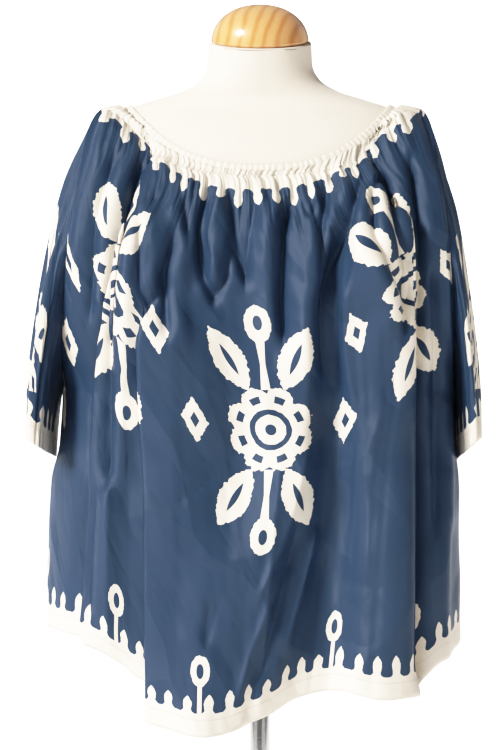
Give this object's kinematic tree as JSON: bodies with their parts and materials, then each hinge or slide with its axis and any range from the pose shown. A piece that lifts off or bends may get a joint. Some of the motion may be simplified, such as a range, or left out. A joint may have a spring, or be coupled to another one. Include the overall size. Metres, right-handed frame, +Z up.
{
  "type": "gathered kaftan blouse on a limbless dress form",
  "caption": "Loose kaftan blouse with an elastic scoop neckline, wide hanging sleeves and a curved hem, on a limbless dress form with a stand.",
  "frame": {"origin": "centre of the stand's underside, on the floor", "axes": "+Z up, -Y is the blouse's front, +X is the right side of the picture (the wearer's left)"},
  "size_m": [0.5408, 0.38, 1.5186],
  "materials": {
    "blue_cloth": "soft satin viscose, printed",
    "cream_cloth": "soft satin viscose",
    "form_cover": "matte fine jersey",
    "varnished_pine": "satin varnish",
    "polished_metal": "polished"
  },
  "bodies": {
    "root": {"front": "blue_cloth", "back": "blue_cloth", "sleeve_left": "blue_cloth", "sleeve_right": "blue_cloth", "neck_casing": "cream_cloth", "form": "form_cover", "neck_cap": "varnished_pine", "pole": "polished_metal", "base": "polished_metal"}
  },
  "joints": []
}
